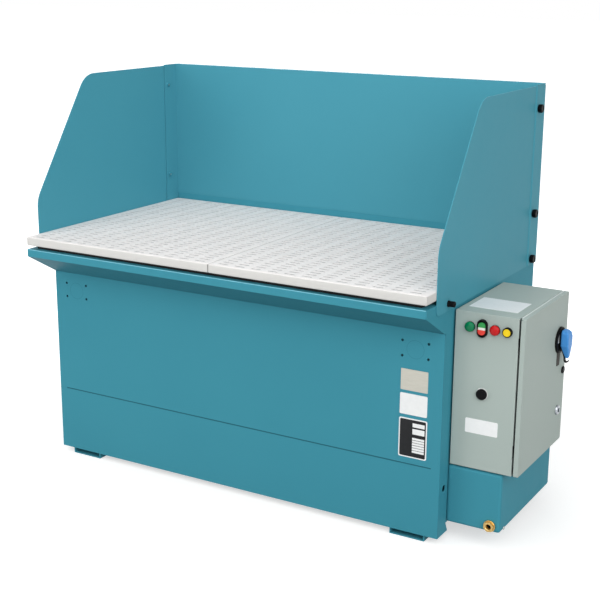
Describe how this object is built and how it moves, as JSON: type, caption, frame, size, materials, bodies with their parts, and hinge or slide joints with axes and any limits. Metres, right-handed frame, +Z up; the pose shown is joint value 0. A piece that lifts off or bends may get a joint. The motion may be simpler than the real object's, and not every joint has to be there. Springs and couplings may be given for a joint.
{
  "type": "downdraft table",
  "caption": "Floor-standing downdraft table: sheet steel cabinet with slotted plastic surface, three shields, filters, blower, dust drawer and side control enclosure.",
  "frame": {"origin": "centre of the bounding box's underside, on the floor the feet stand on", "axes": "+X to the right along the work surface, +Y from the front lip towards the back shield, +Z up"},
  "size_m": [1.8286, 0.916, 1.381],
  "materials": {
    "teal_powder_coat": "satin",
    "grey_powder_coat": "satin",
    "white_slotted_plastic": "matte",
    "black_plastic": "satin",
    "black_foam_rubber": "matte",
    "zinc_plated_steel": "satin",
    "grey_motor_enamel": "satin",
    "filter_media": "matte",
    "brass": "satin",
    "blue_plastic": "gloss",
    "green_plastic": "gloss",
    "red_plastic": "gloss",
    "yellow_plastic": "gloss"
  },
  "bodies": {
    "cabinet": {"access_panel": "teal_powder_coat", "air_inlet_fitting": "brass", "air_tank": "teal_powder_coat", "back_shield": "teal_powder_coat", "blower_housing": "grey_motor_enamel", "bottom_pan": "teal_powder_coat", "button_housing": "black_plastic", "contactor": "black_plastic", "dust_hopper": "teal_powder_coat", "enclosure_box": "grey_powder_coat", "exhaust_grille": "teal_powder_coat", "filter_cartridge_front": "filter_media", "filter_cartridge_rear": "filter_media", "foot_channel_left": "teal_powder_coat", "foot_channel_right": "teal_powder_coat", "front_bolt_left": "black_plastic", "front_bolt_right": "black_plastic", "front_lip": "teal_powder_coat", "front_panel": "teal_powder_coat", "front_plug": "black_plastic", "motor_body": "grey_motor_enamel", "motor_pedestal": "zinc_plated_steel", "pilot_green": "green_plastic", "pilot_red": "red_plastic", "pulse_line_front": "zinc_plated_steel", "pulse_line_rear": "zinc_plated_steel", "rear_panel": "teal_powder_coat", "rear_rail": "teal_powder_coat", "reset_bezel": "black_plastic", "shield_knob_left_low": "black_plastic", "shield_knob_left_middle": "black_plastic", "shield_knob_left_top": "black_plastic", "shield_knob_right_low": "black_plastic", "shield_knob_right_middle": "black_plastic", "shield_knob_right_top": "black_plastic", "side_panel_left": "teal_powder_coat", "side_panel_right": "teal_powder_coat", "side_shield_left": "teal_powder_coat", "side_shield_right": "teal_powder_coat", "spark_baffle": "zinc_plated_steel", "sub_plate": "zinc_plated_steel", "surface_frame": "teal_powder_coat", "surface_seal": "black_foam_rubber", "transformer": "black_plastic", "tube_sheet": "teal_powder_coat", "work_surface_left": "white_slotted_plastic", "work_surface_right": "white_slotted_plastic"},
    "drawer": {"dust_drawer": "teal_powder_coat", "drawer_handle": "zinc_plated_steel"},
    "fan": {"impeller": "grey_motor_enamel", "motor_shaft": "zinc_plated_steel"},
    "start": {"start_button": "green_plastic"},
    "stop": {"stop_button": "red_plastic"},
    "reset": {"reset_button": "yellow_plastic"},
    "door": {"enclosure_door": "grey_powder_coat", "door_gasket": "black_foam_rubber", "door_plug": "black_plastic", "disconnect_switch": "black_plastic"},
    "lever": {"disconnect_lever": "blue_plastic"},
    "latch": {"door_latch": "zinc_plated_steel"}
  },
  "joints": [
    {"name": "drawer_slide", "type": "slide", "parent": "cabinet", "child": "drawer", "axis": [-1, 0, 0], "range_m": [0, 0.55]},
    {"name": "fan_spin", "type": "hinge", "parent": "cabinet", "child": "fan", "pos_m": [0.266, 0.062, 0.2598], "axis": [1, 0, 0], "continuous": true},
    {"name": "start_press", "type": "slide", "parent": "cabinet", "child": "start", "axis": [0, 1, 0], "range_m": [0, 0.004], "stiffness_N_per_m": 500, "springref_m": -0.002},
    {"name": "stop_press", "type": "slide", "parent": "cabinet", "child": "stop", "axis": [0, 1, 0], "range_m": [0, 0.004], "stiffness_N_per_m": 500, "springref_m": -0.002},
    {"name": "reset_press", "type": "slide", "parent": "cabinet", "child": "reset", "axis": [0, 1, 0], "range_m": [0, 0.004], "stiffness_N_per_m": 500, "springref_m": -0.002},
    {"name": "door_hinge", "type": "hinge", "parent": "cabinet", "child": "door", "pos_m": [0.85905, -0.255, 0.258], "axis": [0, 0, -1], "range_deg": [0, 110]},
    {"name": "disconnect_turn", "type": "hinge", "parent": "door", "child": "lever", "pos_m": [0.877, 0.065, 0.614], "axis": [-1, 0, 0], "range_deg": [0, 90]},
    {"name": "latch_turn", "type": "hinge", "parent": "door", "child": "latch", "pos_m": [0.877, 0.081, 0.373], "axis": [1, 0, 0], "range_deg": [0, 90]}
  ]
}
